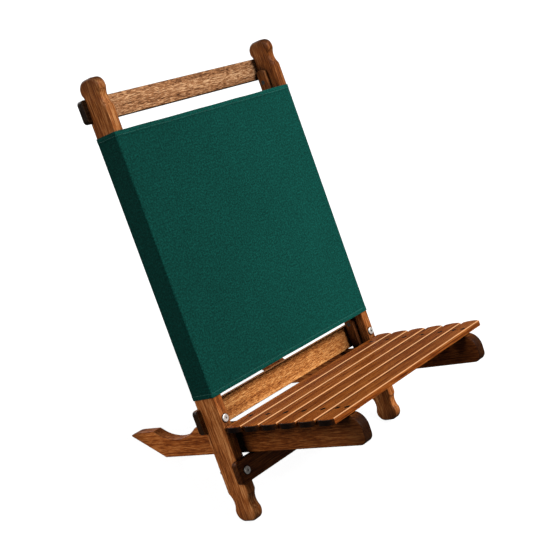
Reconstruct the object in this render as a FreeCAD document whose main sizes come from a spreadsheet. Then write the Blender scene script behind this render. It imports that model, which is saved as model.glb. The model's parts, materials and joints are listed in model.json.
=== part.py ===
"""Two-piece camp chair: a reclined back with a canvas sling, and a slatted seat that slides through it.

The back is drawn plumb: X across the chair, Y rearward from the front faces of the uprights, Z up along
them, with its origin level with the bolts of the lumbar board. The seat is drawn level: Y rearward and Z
up from the lower edge of its rails, with its origin where that edge meets the front faces of the uprights.
Both are then tipped backward about X, raised until the feet and the rail tails stand on Z = 0, and slid
along Y until the whole chair is centred over the origin.
"""
import FreeCAD, Part

import math
import os
import re

import Sketcher

V = FreeCAD.Vector
X_AXIS = V(1, 0, 0)

DRIVING = {
    # stance, degrees
    "recline_angle": 33.5,
    "seat_pitch": 31.2,
    # how far behind the origin the lumbar bolts meet the uprights' front faces
    "stance_shift": -58.2,
    # back frame
    "frame_width": 480,
    "upright_thickness": 21,
    "upright_depth": 50,
    "upright_length": 820,
    "foot_length": 192,
    "knob_radius": 17.5,
    "neck_radius": 26,
    "neck_depth": 4.5,
    "neck_setback": 37,
    "neck_round": 8,
    "knob_edge": 5,
    "edge_round": 2,
    # cross boards
    "board_length": 500,
    "board_height": 42,
    "lumbar_height": 45.5,
    "board_thickness": 13,
    "board_corner": 7,
    "housing_depth": 6.5,
    "top_rail_level": 577,
    "top_screw_spacing": 20,
    # canvas and its battens
    "canvas_top": 528,
    "canvas_bottom": 42,
    "canvas_thickness": 1.3,
    "canvas_gap": 0.15,
    "batten_thickness": 10,
    "batten_width": 20,
    "batten_setback": 20.5,
    "batten_corner": 7,
    "batten_top": 571,
    "batten_bottom": 20,
    "batten_screw_level": 26,
    "batten_screw_pitch": 130,
    # seat rails
    "rail_centre": 191.5,
    "rail_thickness": 22,
    "rail_height": 54,
    "rail_front": 266,
    "rail_stock": 337,
    "rail_clearance": 0.3,
    "nose_top_radius": 28,
    "nose_bottom_radius": 14,
    "scallop_radius": 97,
    "scallop_setback": 178,
    "scallop_floor": 35,
    "tail_radius": 56,
    "tip_round": 1.5,
    "shoulder_round": 4,
    # seat slats
    "slat_length": 492,
    "slat_width": 36.5,
    "slat_pitch": 42.1,
    "slat_thickness": 10.5,
    "slat_crown": 6,
    "slat_round": 2.4,
    "slat_setback": 1.6,
    "front_screw_spacing": 20,
    # fasteners
    "bolt_diameter": 6,
    "bolt_head_diameter": 15,
    "bolt_head_height": 2.6,
    "bolt_socket": 5,
    "bolt_clearance": 0.2,
    "washer_diameter": 16,
    "washer_thickness": 1.4,
    "nut_diameter": 11,
    "nut_height": 8,
    "screw_diameter": 3.6,
    "screw_head_diameter": 8.8,
    "screw_clearance": 0.1,
    "slat_screw_length": 35,
    "batten_screw_length": 24,
    "rail_screw_length": 38,
}

# Sizes that follow from the driving ones. The chair stands on the rounded heels of its uprights, and the
# seat rails run just under the lumbar board, dropping slightly toward the front in the back's frame.
DERIVED = {
    "rail_slope": "recline_angle - seat_pitch",
    "board_rear": "upright_depth - housing_depth + board_thickness",
    # the lumbar board is the taller one, and all of that is above its bolts
    "lumbar_level": "(lumbar_height - board_height) / 2",
    "stand_height": "knob_radius + (upright_depth - knob_radius) * sin(recline_angle)"
                    " + (foot_length - knob_radius) * cos(recline_angle)",
    "seat_level": "-board_height / 2 - rail_clearance - rail_height / cos(rail_slope)"
                  " - board_rear * tan(rail_slope)",
    "ground_start": "(stand_height + seat_level * cos(recline_angle)) / sin(seat_pitch)",
    "front_board_level": "seat_level - rail_clearance - board_height / 2"
                         " - (board_thickness - housing_depth) * tan(rail_slope)",
    "upright_centre": "(frame_width - upright_thickness) / 2",
    "batten_centre": "frame_width / 2 - upright_thickness - canvas_thickness - 2 * canvas_gap"
                     " - batten_thickness / 2",
    "slat_end_radius": "(slat_width ^ 2 / 4 + slat_crown ^ 2) / (2 * slat_crown)",
}

SLAT_COUNT = 6
BATTEN_SCREWS = 5
ALIAS = re.compile(r"\b[a-z]+(?:_[a-z]+)+\b")
SIDES = (("left", -1), ("right", 1))

doc = FreeCAD.newDocument("CampChair")
sheet = doc.addObject("Spreadsheet::Sheet", "Dimensions")
for row, (alias, number) in enumerate(DRIVING.items(), start=1):
    sheet.set(f"A{row}", alias)
    sheet.set(f"B{row}", str(number))
    sheet.setAlias(f"B{row}", alias)
doc.recompute()


# ---------------------------------------------------------------- helpers

def qualified(formula):
    """The formula with each name of a size led by the object that holds it."""
    return ALIAS.sub(lambda m: ("Derived." if m[0] in DERIVED else "Dimensions.") + m[0], formula)


def bind(target, path, formula):
    """Bind a property to a formula of the sizes' names."""
    target.setExpression(path, qualified(formula))


derived = doc.addObject("App::FeaturePython", "Derived")
for name, formula in DERIVED.items():
    derived.addProperty("App::PropertyFloat", name)
    bind(derived, name, formula)
doc.recompute()


def size(name):
    """The present number of a driving or a derived size."""
    return float(getattr(derived, name) if name in DERIVED else sheet.get(name))


def new_body(label):
    body = doc.addObject("PartDesign::Body", label)
    body.Label = label
    return body


def new_sketch(body, name, role, across="0", up="0", out="0"):
    """A sketch on one of the body's own origin planes, shifted in the plane and out of it."""
    sketch = body.newObject("Sketcher::SketchObject", name)
    plane = [feature for feature in body.Origin.OriginFeatures if feature.Role == role][0]
    sketch.AttachmentSupport = [(plane, "")]
    sketch.MapMode = "FlatFace"
    bind(sketch, "AttachmentOffset.Base.x", across)
    bind(sketch, "AttachmentOffset.Base.y", up)
    bind(sketch, "AttachmentOffset.Base.z", out)
    return sketch


def dimension(sketch, constraint, name, formula):
    index = sketch.addConstraint(constraint)
    sketch.renameConstraint(index, name)
    bind(sketch, f"Constraints.{name}", formula)


def draw_rectangle(sketch, width, height):
    """A rectangle centred on the sketch's origin."""
    corners = [V(-10, -5, 0), V(10, -5, 0), V(10, 5, 0), V(-10, 5, 0)]
    lines = [sketch.addGeometry(Part.LineSegment(corners[i], corners[(i + 1) % 4])) for i in range(4)]
    for i in range(4):
        sketch.addConstraint(Sketcher.Constraint("Coincident", lines[i], 2, lines[(i + 1) % 4], 1))
        sketch.addConstraint(Sketcher.Constraint("Vertical" if i % 2 else "Horizontal", lines[i]))
    sketch.addConstraint(Sketcher.Constraint("Symmetric", lines[0], 1, lines[2], 1, -1, 1))
    dimension(sketch, Sketcher.Constraint("DistanceX", lines[0], 1, lines[0], 2, 20), "width", width)
    dimension(sketch, Sketcher.Constraint("DistanceY", lines[1], 1, lines[1], 2, 10), "height", height)


def draw_circle(sketch, diameter, across="", up="", across_side=1, up_side=1):
    """A circle whose centre stands off the sketch's origin by the given distances."""
    count = sketch.GeometryCount
    centre = V(10 * across_side if across else 0, 10 * up_side if up else 0, 0)
    circle = sketch.addGeometry(Part.Circle(centre, V(0, 0, 1), 2))
    dimension(sketch, Sketcher.Constraint("Diameter", circle, 4), f"diameter_{count}", diameter)
    for kind, formula, side in (("DistanceX", across, across_side), ("DistanceY", up, up_side)):
        if not formula:
            axis = -2 if kind == "DistanceX" else -1
            sketch.addConstraint(Sketcher.Constraint("PointOnObject", circle, 3, axis))
            continue
        ends = (-1, 1, circle, 3) if side > 0 else (circle, 3, -1, 1)
        dimension(sketch, Sketcher.Constraint(kind, *ends, 10), f"{kind}_{count}", formula)


def pad(body, sketch, length, midplane=True):
    feature = body.newObject("PartDesign::Pad", f"{sketch.Name}_pad")
    feature.Profile = sketch
    feature.SideType = "Symmetric" if midplane else "One side"
    bind(feature, "Length", length)
    doc.recompute()
    return feature


def pocket(body, sketch, length, midplane=True, reverse=False):
    """Cut the sketch out of the body, and make sure that it took something away."""
    before = body.Shape.Volume
    feature = body.newObject("PartDesign::Pocket", f"{sketch.Name}_pocket")
    feature.Profile = sketch
    feature.SideType = "Symmetric" if midplane else "One side"
    feature.Reversed = reverse
    bind(feature, "Length", length)
    doc.recompute()
    if body.Shape.Volume > before - 1:
        raise RuntimeError(f"{feature.Name} cuts nothing from {body.Label}")
    return feature


def edge_names(shape, wanted):
    return [f"Edge{i}" for i, edge in enumerate(shape.Edges, start=1) if wanted(edge)]


def round_edges(body, name, radius, wanted):
    """Fillet the edges of the body that pass the test."""
    base = body.Tip
    feature = body.newObject("PartDesign::Fillet", name)
    feature.Base = (base, edge_names(base.Shape, wanted))
    bind(feature, "Radius", radius)
    doc.recompute()
    return feature


def lies_across(edge):
    """True for a straight edge that runs along X."""
    return isinstance(edge.Curve, Part.Line) and abs(edge.tangentAt(edge.FirstParameter).x) > 0.999


# ---------------------------------------------------------------- the two frames

def tipped(origin, angle):
    """A frame at the origin given, tipped backward about X."""
    return FreeCAD.Placement(origin, FreeCAD.Rotation(X_AXIS, -angle))


BACK = tipped(V(0, size("stance_shift"), size("stand_height")), size("recline_angle"))
SEAT = tipped(BACK.multVec(V(0, 0, size("seat_level"))), size("seat_pitch"))


# ---------------------------------------------------------------- back section

def on_side_faces(centre, thickness):
    """A test for edges that lie flat in either broad face of a plank set on edge."""
    def wanted(edge):
        box = edge.BoundBox
        return box.XLength < 0.01 and abs(abs(box.XMin - centre) - thickness / 2) < 0.01
    return wanted


def batten_screw_level(index):
    """Formula for the height of one of the evenly spaced batten screws."""
    return f"batten_screw_level + {index} * batten_screw_pitch"


def batten_screw_height(index):
    """The present number of that height."""
    return size("batten_screw_level") + index * size("batten_screw_pitch")


def beside_knob(edge):
    """True for the sharp edge across an upright where a neck's hollow runs out into the knob."""
    level = edge.BoundBox.ZMin
    from_end = min(level + size("foot_length"), size("upright_length") - size("foot_length") - level)
    return lies_across(edge) and size("knob_radius") + 1 < from_end < size("neck_setback")


def make_upright(side, sign):
    """A plank on edge, waisted near both ends to leave soft-edged knobs, and housed for the three boards."""
    body = new_body(f"{side}_upright")
    centre = f"{sign} * upright_centre"
    middle = ("upright_depth / 2", "upright_length / 2 - foot_length", centre)
    through = "upright_thickness + 2"

    outline = new_sketch(body, f"{side}_upright_outline", "YZ_Plane", *middle)
    draw_rectangle(outline, "upright_depth", "upright_length")
    pad(body, outline, "upright_thickness")
    round_edges(body, f"{side}_upright_ends", "knob_radius", lies_across)

    necks = new_sketch(body, f"{side}_upright_necks", "YZ_Plane", *middle)
    for across_side in (-1, 1):
        for up_side in (-1, 1):
            draw_circle(necks, "2 * neck_radius", "upright_depth / 2 - neck_depth + neck_radius",
                        "upright_length / 2 - neck_setback", across_side, up_side)
    pocket(body, necks, through)
    round_edges(body, f"{side}_knob_shoulders", "neck_round", beside_knob)
    outline_edge = on_side_faces(sign * size("upright_centre"), size("upright_thickness"))
    half = size("upright_length") / 2
    round_edges(body, f"{side}_knob_arris", "knob_edge",
                lambda edge: outline_edge(edge) and edge.Length < half)
    round_edges(body, f"{side}_upright_arris", "edge_round",
                lambda edge: outline_edge(edge) and edge.Length > half)

    housings = (("top", "upright_depth", "top_rail_level", "board_height"),
                ("lumbar", "upright_depth", "lumbar_level", "lumbar_height"),
                ("front", "0", "front_board_level", "board_height"))
    for board, face, level, height in housings:
        housing = new_sketch(body, f"{side}_{board}_housing", "YZ_Plane", face, level, centre)
        draw_rectangle(housing, "2 * housing_depth", height)
        pocket(body, housing, through)

    bolt_holes = new_sketch(body, f"{side}_upright_bolt_holes", "XZ_Plane", centre)
    draw_circle(bolt_holes, "bolt_diameter + 2 * bolt_clearance")
    draw_circle(bolt_holes, "bolt_diameter + 2 * bolt_clearance", "", "-front_board_level", 1, -1)
    pocket(body, bolt_holes, "3 * upright_depth")

    pilots = new_sketch(body, f"{side}_top_rail_pilots", "XZ_Plane", centre, "top_rail_level",
                        "housing_depth - upright_depth")
    for up_side in (-1, 1):
        draw_circle(pilots, "screw_diameter + 2 * screw_clearance", "", "top_screw_spacing / 2", 1, up_side)
    pocket(body, pilots, "2 * (rail_screw_length - board_thickness + 1)")

    grips = new_sketch(body, f"{side}_batten_pilots", "YZ_Plane", "batten_setback + batten_width / 2", "0",
                       f"{sign} * (frame_width / 2 - upright_thickness)")
    for index in range(BATTEN_SCREWS):
        draw_circle(grips, "screw_diameter + 2 * screw_clearance", "", batten_screw_level(index))
    pocket(body, grips, "2 * (batten_screw_length - batten_thickness)")
    body.Placement = BACK
    return body


def countersink(body, sketch, reverse=False):
    """Screw clearance holes right through the body, coned out for flat heads where the sketch lies."""
    before = body.Shape.Volume
    hole = body.newObject("PartDesign::Hole", f"{sketch.Name}_holes")
    hole.Profile = sketch
    hole.DepthType = "ThroughAll"
    hole.Reversed = reverse
    hole.HoleCutType = "Countersink"
    hole.HoleCutCountersinkAngle = 90
    bind(hole, "Diameter", "screw_diameter + 2 * screw_clearance")
    bind(hole, "HoleCutDiameter", "screw_head_diameter + 2 * screw_clearance")
    doc.recompute()
    if body.Shape.Volume > before - 1:
        raise RuntimeError(f"{hole.Name} cuts nothing from {body.Label}")
    return hole


def make_batten(side, sign):
    """The strip that clamps one edge of the canvas to the inner face of an upright."""
    body = new_body(f"{side}_canvas_batten")
    outline = new_sketch(body, f"{side}_batten_outline", "YZ_Plane", "batten_setback + batten_width / 2",
                         "(batten_top - batten_bottom) / 2", f"{sign} * batten_centre")
    draw_rectangle(outline, "batten_width", "batten_top + batten_bottom")
    pad(body, outline, "batten_thickness")
    top = size("batten_top") - 0.01
    round_edges(body, f"{side}_batten_corners", "batten_corner",
                lambda edge: lies_across(edge) and edge.BoundBox.ZMin > top)
    centre = sign * size("batten_centre")
    inner_face = abs(centre) - size("batten_thickness") / 2
    round_edges(body, f"{side}_batten_arris", "edge_round / 2",
                lambda edge: max(abs(abs(edge.BoundBox.XMin) - inner_face),
                                 abs(abs(edge.BoundBox.XMax) - inner_face)) < 0.01)
    screws = new_sketch(body, f"{side}_batten_drilling", "YZ_Plane", "batten_setback + batten_width / 2", "0",
                        f"{sign} * (batten_centre - batten_thickness / 2)")
    for index in range(BATTEN_SCREWS):
        draw_circle(screws, "screw_diameter", "", batten_screw_level(index))
    countersink(body, screws, reverse=sign > 0)
    body.Placement = BACK
    return body


def make_board(label, face, level, holes, rise="0", height="board_height", screwed=False):
    """A cross board let into the uprights, its ends overhanging them and its corners rounded.

    Its fasteners are at level, and its middle is rise above them."""
    body = new_body(label)
    outline = new_sketch(body, f"{label}_outline", "XZ_Plane", "0", f"{level} + {rise}", face)
    draw_rectangle(outline, "board_length", height)
    pad(body, outline, "board_thickness")
    round_edges(body, f"{label}_corners", "board_corner",
                lambda edge: abs(edge.BoundBox.YLength - size("board_thickness")) < 0.01)
    round_edges(body, f"{label}_arris", "edge_round", lambda edge: edge.BoundBox.YLength < 0.01)
    drilling = new_sketch(body, f"{label}_drilling", "XZ_Plane", "0", level, holes)
    for across_side in (-1, 1):
        if screwed:
            for up_side in (-1, 1):
                draw_circle(drilling, "screw_diameter", "upright_centre", "top_screw_spacing / 2",
                            across_side, up_side)
        else:
            draw_circle(drilling, "bolt_diameter + 2 * bolt_clearance", "upright_centre", "", across_side)
    if screwed:
        countersink(body, drilling, reverse=True)
    else:
        pocket(body, drilling, "3 * board_thickness")
    body.Placement = BACK
    return body


def make_block(label, width, depth, height, across, rearward, up):
    """A plain block from its sizes and its least corner, all given as formulas."""
    block = doc.addObject("Part::Box", label)
    for path, formula in (("Length", width), ("Width", depth), ("Height", height),
                          ("Placement.Base.x", across), ("Placement.Base.y", rearward),
                          ("Placement.Base.z", up)):
        bind(block, path, formula)
    return block


def make_pin(label, radius, length, across, rearward, up):
    """A plain cylinder along X from its sizes and the middle of its left end, all given as formulas."""
    pin = doc.addObject("Part::Cylinder", label)
    pin.Placement = FreeCAD.Placement(V(), FreeCAD.Rotation(V(0, 1, 0), 90))
    for path, formula in (("Radius", radius), ("Height", length), ("Placement.Base.x", across),
                          ("Placement.Base.y", rearward), ("Placement.Base.z", up)):
        bind(pin, path, formula)
    return pin


def make_canvas():
    """The sling: a front panel that wraps round both uprights and ends under the battens inside them."""
    skin = "(canvas_thickness + canvas_gap)"
    inner = "(frame_width / 2 - upright_thickness)"
    tall = "(canvas_top - canvas_bottom)"
    hull = make_block("canvas_hull", f"frame_width + 2 * {skin}", f"upright_depth + 2 * {skin}", tall,
                      f"-frame_width / 2 - {skin}", f"-{skin}", "canvas_bottom")
    cutters = [
        make_block("canvas_centre", f"2 * ({inner} - {skin})", f"upright_depth + 2 * {skin}", f"{tall} + 2",
                   f"{skin} - {inner}", "-canvas_gap", "canvas_bottom - 1"),
        make_block("canvas_front", f"2 * {inner}", "batten_setback + canvas_gap", f"{tall} + 2",
                   f"-{inner}", "-canvas_gap", "canvas_bottom - 1"),
    ]
    for side, least in (("left", "-frame_width / 2 - canvas_gap"),
                        ("right", f"{inner} - canvas_gap")):
        cutters.append(make_block(f"canvas_{side}", "upright_thickness + 2 * canvas_gap",
                                  "upright_depth + 2 * canvas_gap", f"{tall} + 2", least, "-canvas_gap",
                                  "canvas_bottom - 1"))
    for index in range(BATTEN_SCREWS):
        level = batten_screw_level(index)
        if size("canvas_bottom") < batten_screw_height(index) < size("canvas_top"):
            cutters.append(make_pin(f"canvas_holes_{index}", "screw_diameter / 2 + screw_clearance",
                                    f"2 * {inner}", f"-{inner}", "batten_setback + batten_width / 2", level))
    voids = doc.addObject("Part::MultiFuse", "canvas_voids")
    voids.Shapes = cutters
    canvas = doc.addObject("Part::Cut", "back_canvas")
    canvas.Label = "back_canvas"
    canvas.Base = hull
    canvas.Tool = voids
    canvas.Placement = BACK
    doc.recompute()
    return canvas


# ---------------------------------------------------------------- seat section

def draw_ground_wedge(sketch):
    """A wedge below the ground line, which rises rearward from the rail's lower edge at the seat's pitch."""
    corners = [V(0, 0, 0), V(200, 0, 0), V(200, 120, 0)]
    lines = [sketch.addGeometry(Part.LineSegment(corners[i], corners[(i + 1) % 3])) for i in range(3)]
    for i in range(3):
        sketch.addConstraint(Sketcher.Constraint("Coincident", lines[i], 2, lines[(i + 1) % 3], 1))
    sketch.addConstraint(Sketcher.Constraint("Coincident", lines[0], 1, -1, 1))
    sketch.addConstraint(Sketcher.Constraint("Horizontal", lines[0]))
    sketch.addConstraint(Sketcher.Constraint("Vertical", lines[1]))
    reach = Sketcher.Constraint("DistanceX", lines[0], 1, lines[0], 2, 200)
    dimension(sketch, reach, "reach", "4 * rail_height")
    rise = Sketcher.Constraint("DistanceY", lines[1], 1, lines[1], 2, 120)
    dimension(sketch, rise, "rise", "4 * rail_height * tan(seat_pitch)")


def draw_corner_waste(sketch, radius):
    """What is left outside a quarter circle in the corner above and to the right of it."""
    reach = 50
    middle = reach * (math.sqrt(0.5) - 1)
    top = sketch.addGeometry(Part.LineSegment(V(-reach, 0, 0), V(0, 0, 0)))
    side = sketch.addGeometry(Part.LineSegment(V(0, 0, 0), V(0, -reach, 0)))
    arc = sketch.addGeometry(Part.Arc(V(0, -reach, 0), V(middle, middle, 0), V(-reach, 0, 0)))
    for first, second in (((top, 2), (side, 1)), ((top, 2), (-1, 1)), ((side, 2), (arc, 1)),
                          ((arc, 2), (top, 1))):
        sketch.addConstraint(Sketcher.Constraint("Coincident", *first, *second))
    sketch.addConstraint(Sketcher.Constraint("Horizontal", top))
    sketch.addConstraint(Sketcher.Constraint("Vertical", side))
    dimension(sketch, Sketcher.Constraint("DistanceX", top, 1, top, 2, reach), "along", radius)
    dimension(sketch, Sketcher.Constraint("DistanceY", side, 2, side, 1, reach), "down", radius)
    dimension(sketch, Sketcher.Constraint("Radius", arc, reach), "radius", radius)


def make_rail(side, sign):
    """A seat rail: rounded nose, scalloped top behind the back section, tail cut to lie on the ground."""
    body = new_body(f"{side}_seat_rail")
    centre = f"{sign} * rail_centre"
    through = "rail_thickness + 2"
    outline = new_sketch(body, f"{side}_rail_outline", "YZ_Plane", "(rail_stock - rail_front) / 2",
                         "rail_height / 2", centre)
    draw_rectangle(outline, "rail_stock + rail_front", "rail_height")
    pad(body, outline, "rail_thickness")
    nose = -size("rail_front") + 0.01
    middle = size("rail_height") / 2
    round_edges(body, f"{side}_nose_top", "nose_top_radius",
                lambda edge: lies_across(edge) and edge.BoundBox.YMax < nose and edge.BoundBox.ZMin > middle)
    round_edges(body, f"{side}_nose_bottom", "nose_bottom_radius",
                lambda edge: lies_across(edge) and edge.BoundBox.YMax < nose and edge.BoundBox.ZMax < middle)

    scallop = new_sketch(body, f"{side}_rail_scallop", "YZ_Plane", "scallop_setback",
                         "scallop_floor + scallop_radius", centre)
    draw_circle(scallop, "2 * scallop_radius")
    pocket(body, scallop, through)
    ground = new_sketch(body, f"{side}_rail_ground", "YZ_Plane", "ground_start", "0", centre)
    draw_ground_wedge(ground)
    pocket(body, ground, through)
    tail = new_sketch(body, f"{side}_rail_tail", "YZ_Plane", "rail_stock", "rail_height", centre)
    draw_corner_waste(tail, "tail_radius")
    pocket(body, tail, through)

    behind = size("scallop_setback")
    top = size("rail_height") - 0.01
    tail_start = size("rail_stock") - size("tail_radius") + 1
    round_edges(body, f"{side}_tail_tip", "tip_round",
                lambda edge: lies_across(edge) and edge.BoundBox.YMin > tail_start)
    round_edges(body, f"{side}_shoulders", "shoulder_round",
                lambda edge: lies_across(edge) and abs(edge.BoundBox.YMin - behind) < size("scallop_radius")
                and edge.BoundBox.ZMin > top)
    round_edges(body, f"{side}_rail_arris", "edge_round",
                on_side_faces(sign * size("rail_centre"), size("rail_thickness")))

    pilots = new_sketch(body, f"{side}_slat_pilots", "XY_Plane", centre, "0", "rail_height")
    for level in screw_stations():
        draw_circle(pilots, "screw_diameter + 2 * screw_clearance", "", level, 1, -1)
    pocket(body, pilots, "2 * (slat_screw_length - slat_thickness + 1)")
    body.Placement = SEAT
    return body


def slat_centre(number):
    """Formula for how far in front of the seat's origin a slat's middle lies; slat 1 is the rearmost."""
    return f"(slat_setback + slat_width / 2 + {number - 1} * slat_pitch)"


def screw_offsets(number):
    """Where a slat's screws stand off its middle: one per rail, or two on the front slat."""
    return ["-front_screw_spacing / 2", "front_screw_spacing / 2"] if number == SLAT_COUNT else ["0"]


def screw_stations():
    return [f"{slat_centre(number)} + ({offset})"
            for number in range(1, SLAT_COUNT + 1) for offset in screw_offsets(number)]


def make_slat(number):
    """A flat slat with crowned ends and eased upper edges, screwed down to both rails."""
    label = f"seat_slat_{number}"
    body = new_body(label)
    outline = new_sketch(body, f"{label}_outline", "XY_Plane", "0", f"-{slat_centre(number)}", "rail_height")
    half, deep, crown = 100, 20, 5
    front = outline.addGeometry(Part.LineSegment(V(-half, -deep, 0), V(half, -deep, 0)))
    rear = outline.addGeometry(Part.LineSegment(V(half, deep, 0), V(-half, deep, 0)))
    right = outline.addGeometry(Part.Arc(V(half, -deep, 0), V(half + crown, 0, 0), V(half, deep, 0)))
    left = outline.addGeometry(Part.Arc(V(-half, deep, 0), V(-half - crown, 0, 0), V(-half, -deep, 0)))
    for first, second in (((front, 2), (right, 1)), ((right, 2), (rear, 1)), ((rear, 2), (left, 1)),
                          ((left, 2), (front, 1))):
        outline.addConstraint(Sketcher.Constraint("Coincident", *first, *second))
    outline.addConstraint(Sketcher.Constraint("Horizontal", front))
    outline.addConstraint(Sketcher.Constraint("Symmetric", front, 1, rear, 1, -1, 1))
    outline.addConstraint(Sketcher.Constraint("Symmetric", front, 2, rear, 2, -1, 1))
    dimension(outline, Sketcher.Constraint("DistanceX", front, 1, front, 2, 2 * half), "run",
              "slat_length - 2 * slat_crown")
    dimension(outline, Sketcher.Constraint("DistanceY", front, 2, rear, 1, 2 * deep), "width", "slat_width")
    dimension(outline, Sketcher.Constraint("Radius", right, 40), "right_end", "slat_end_radius")
    dimension(outline, Sketcher.Constraint("Radius", left, 40), "left_end", "slat_end_radius")
    pad(body, outline, "slat_thickness", midplane=False)
    top = size("rail_height") + size("slat_thickness") - 0.01
    round_edges(body, f"{label}_arris", "slat_round", lambda edge: edge.BoundBox.ZMin > top)

    screws = new_sketch(body, f"{label}_screws", "XY_Plane", "0", f"-{slat_centre(number)}",
                        "rail_height + slat_thickness")
    for offset in screw_offsets(number):
        for across_side in (-1, 1):
            up_side = -1 if offset.startswith("-") else 1
            up = "" if offset == "0" else offset.lstrip("-")
            draw_circle(screws, "screw_diameter", "rail_centre", up, across_side, up_side)
    countersink(body, screws)
    body.Placement = SEAT
    return body


# ---------------------------------------------------------------- fasteners

def screw_shape(length):
    """A flat-headed wood screw along -Z, its head's face at the origin, with a cross recess."""
    head = size("screw_head_diameter") / 2
    shank = size("screw_diameter") / 2
    cone = Part.makeCone(shank, head, head - shank, V(0, 0, shank - head))
    screw = cone.fuse(Part.makeCylinder(shank, length, V(0, 0, -length)))
    slot = head / 4
    depth = (head - shank) * 0.7
    for long_side, short_side in ((head, slot), (slot, head)):
        corner = V(-long_side / 2, -short_side / 2, -depth)
        screw = screw.cut(Part.makeBox(long_side, short_side, depth, corner))
    return screw.removeSplitter()


def bolt_shape(length):
    """A machine bolt along -Z whose low domed head stands above the origin and has a hexagon socket."""
    head = size("bolt_head_diameter") / 2
    height = size("bolt_head_height")
    disc = Part.makeCylinder(head, height)
    disc = disc.makeFillet(height * 0.6, [edge for edge in disc.Edges if edge.BoundBox.ZMin > height - 0.01])
    socket = Part.Face(Part.makePolygon([
        V(size("bolt_socket") / 2 * math.cos(turn), size("bolt_socket") / 2 * math.sin(turn), height)
        for turn in (math.radians(60 * corner) for corner in range(7))]))
    shank = Part.makeCylinder(size("bolt_diameter") / 2, length, V(0, 0, -length))
    return disc.cut(socket.extrude(V(0, 0, -height * 0.8))).fuse(shank).removeSplitter()


def washer_shape():
    hole = size("bolt_diameter") / 2 + size("bolt_clearance")
    thickness = size("washer_thickness")
    return Part.makeCylinder(size("washer_diameter") / 2, thickness).cut(Part.makeCylinder(hole, thickness))


def cap_nut_shape():
    """A hexagon cap nut on Z = 0 with a domed, closed end and a blind bore for the bolt."""
    across = size("nut_diameter") / math.sqrt(3)
    height = size("nut_height")
    flats = height * 0.5
    prism = Part.Face(Part.makePolygon([
        V(across * math.cos(turn), across * math.sin(turn), 0)
        for turn in (math.radians(60 * corner) for corner in range(7))])).extrude(V(0, 0, flats))
    dome = Part.makeSphere(size("nut_diameter") / 2 - 0.5, V(0, 0, flats - 0.5))
    dome = dome.common(Part.makeCylinder(across, height, V(0, 0, 0)))
    bore = Part.makeCylinder(size("bolt_diameter") / 2 + size("screw_clearance"), flats + 2)
    return prism.fuse(dome).cut(bore).removeSplitter()


def make_group(label, shape, frame, turn, places):
    """Identical fasteners at several places of one frame, kept as separate solids of one sub-part."""
    group = doc.addObject("Part::Feature", label)
    group.Label = label
    group.Shape = Part.makeCompound([
        shape.transformed(FreeCAD.Placement(place, turn).toMatrix(), True) for place in places])
    group.Placement = frame
    return group


def make_fasteners():
    """Bolts, washers and cap nuts for the two lower boards, and all of the wood screws."""
    facing_front = FreeCAD.Rotation(X_AXIS, 90)
    facing_rear = FreeCAD.Rotation(X_AXIS, -90)
    rear_face = size("board_rear")
    front_face = size("housing_depth") - size("board_thickness")
    depth = size("upright_depth")
    spare = size("washer_thickness") + size("nut_height") * 0.5
    centres = [sign * size("upright_centre") for _, sign in SIDES]
    joints = (("lumbar", 0.0, 0.0, rear_face), ("front_board", size("front_board_level"), front_face, depth))
    groups = []
    for name, level, head_at, nut_at in joints:
        seat_at = nut_at + size("washer_thickness")
        bolt = bolt_shape(nut_at - head_at + spare)
        for kind, shape, turn, rearward in (("bolts", bolt, facing_front, head_at),
                                            ("washers", washer_shape(), facing_rear, nut_at),
                                            ("cap_nuts", cap_nut_shape(), facing_rear, seat_at)):
            groups.append(make_group(f"{name}_{kind}", shape, BACK, turn,
                                     [V(x, rearward, level) for x in centres]))

    spread = size("top_screw_spacing") / 2
    groups.append(make_group("top_rail_screws", screw_shape(size("rail_screw_length")), BACK, facing_rear, [
        V(x, rear_face, size("top_rail_level") + rise) for x in centres for rise in (-spread, spread)]))

    batten_middle = size("batten_setback") + size("batten_width") / 2
    for side, sign in SIDES:
        facing_in = FreeCAD.Rotation(V(0, 1, 0), -90 * sign)
        inner_face = sign * (size("batten_centre") - size("batten_thickness") / 2)
        groups.append(make_group(
            f"{side}_batten_screws", screw_shape(size("batten_screw_length")), BACK, facing_in,
            [V(inner_face, batten_middle, batten_screw_height(index)) for index in range(BATTEN_SCREWS)]))

    top = size("rail_height") + size("slat_thickness")
    first = size("slat_setback") + size("slat_width") / 2
    last = first + (SLAT_COUNT - 1) * size("slat_pitch")
    stations = [first + number * size("slat_pitch") for number in range(SLAT_COUNT - 1)]
    stations += [last - size("front_screw_spacing") / 2, last + size("front_screw_spacing") / 2]
    for side, sign in SIDES:
        groups.append(make_group(
            f"{side}_slat_screws", screw_shape(size("slat_screw_length")), SEAT, FreeCAD.Rotation(),
            [V(sign * size("rail_centre"), -station, top) for station in stations]))
    return groups


# ---------------------------------------------------------------- assembly and export

def check_document():
    for item in doc.Objects:
        faults = [state for state in item.State if state in ("Invalid", "Error")]
        if faults:
            raise RuntimeError(f"{item.Label} is {faults}")


def export(parts):
    os.makedirs("parts", exist_ok=True)
    for part in parts:
        if part.Shape.isNull() or not part.Shape.isValid():
            raise RuntimeError(f"{part.Label} has no valid shape")
        part.Shape.exportStep(f"parts/{part.Label}.step")
        box = part.Shape.optimalBoundingBox(False)
        print(f"{part.Label:22s} {len(part.Shape.Solids)} solid(s) {part.Shape.Volume / 1000:9.2f} cm3"
              f"  z {box.ZMin:.2f} to {box.ZMax:.2f}")


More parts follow.
